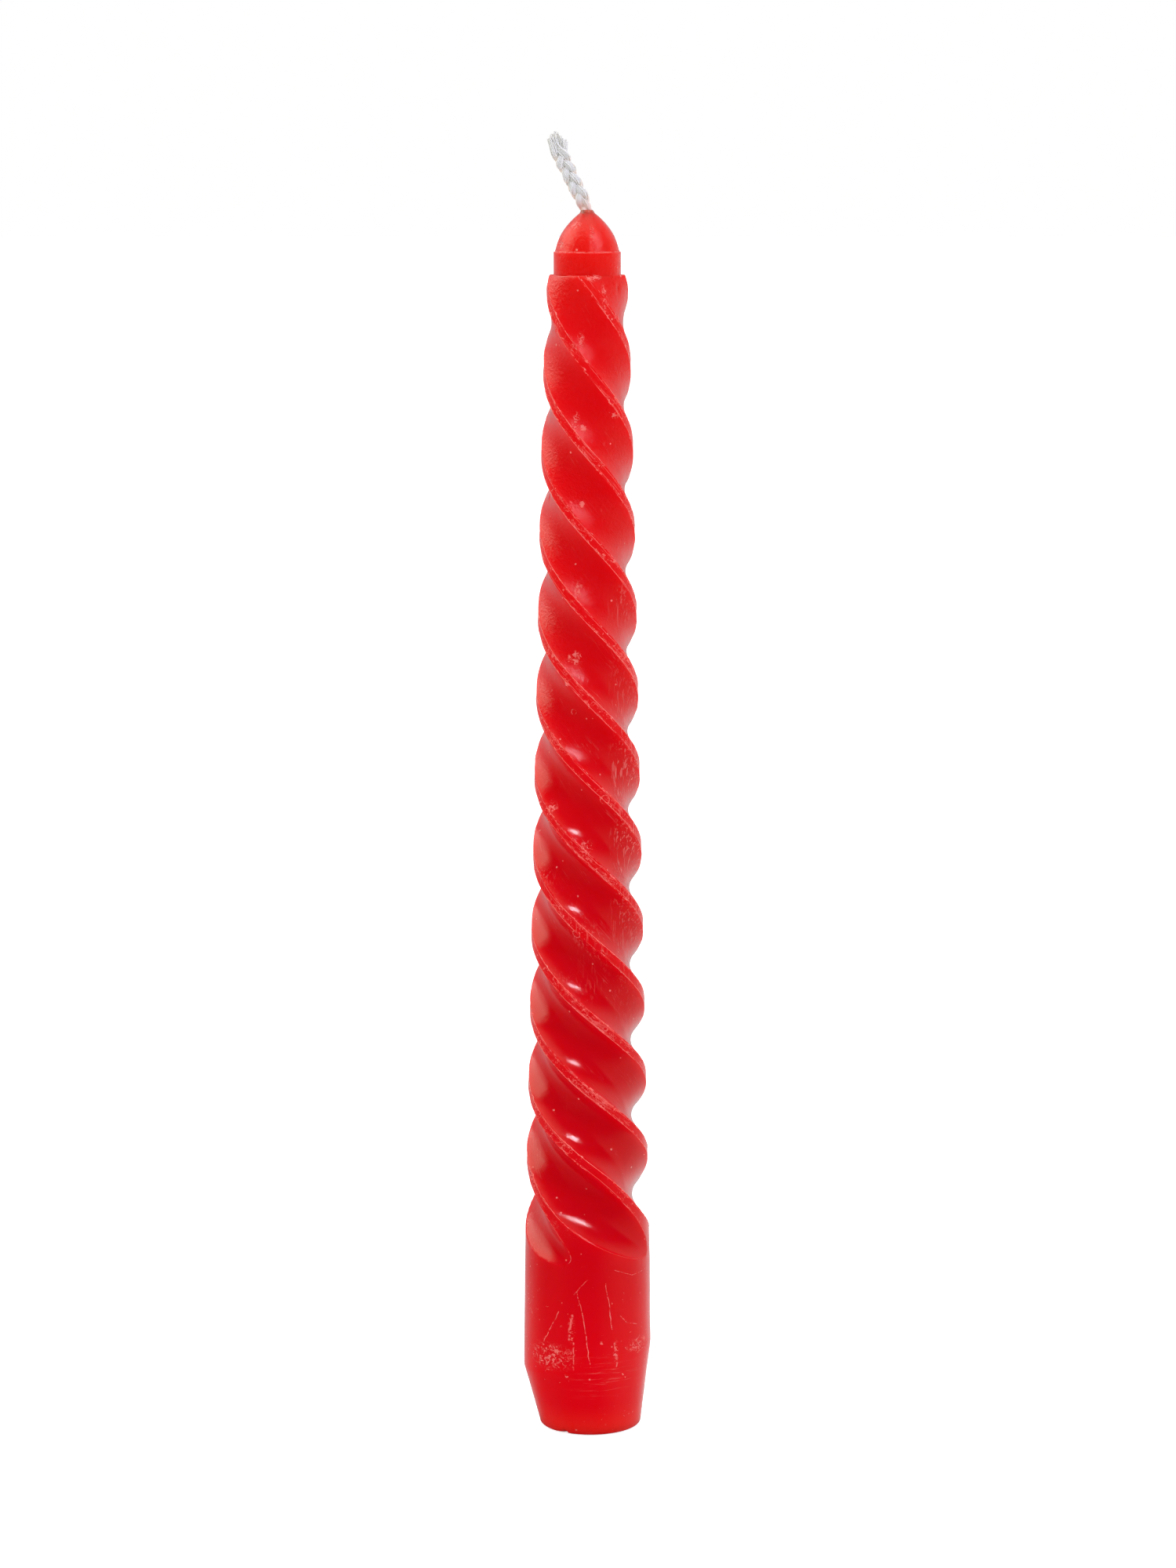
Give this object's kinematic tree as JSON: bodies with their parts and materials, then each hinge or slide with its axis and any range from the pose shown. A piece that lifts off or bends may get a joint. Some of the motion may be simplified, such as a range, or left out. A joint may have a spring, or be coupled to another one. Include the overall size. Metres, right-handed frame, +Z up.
{
  "type": "twisted taper candle",
  "caption": "Slim tapering candle with shallow flutes winding left-handed down a cone of wax, a plain butt for a holder's cup, a collar, a domed tip and a leaning plaited wick.",
  "frame": {"origin": "middle of the flat base, on the candle's long axis", "axes": "+Z up the candle towards the wick, -Y towards the viewer in the picture, so the wick leans towards -X"},
  "size_m": [0.022, 0.022, 0.2223],
  "materials": {
    "wax": "dyed red candle wax, glossy in the flutes, scuffed to a satin on the lands and the butt",
    "wick": "undyed cotton yarn, matt, warmer between the strands and tinted by the wax at its root"
  },
  "bodies": {
    "root": {"wax_body": "wax", "wick_strand_1": "wick", "wick_strand_2": "wick", "wick_strand_3": "wick"}
  },
  "joints": []
}
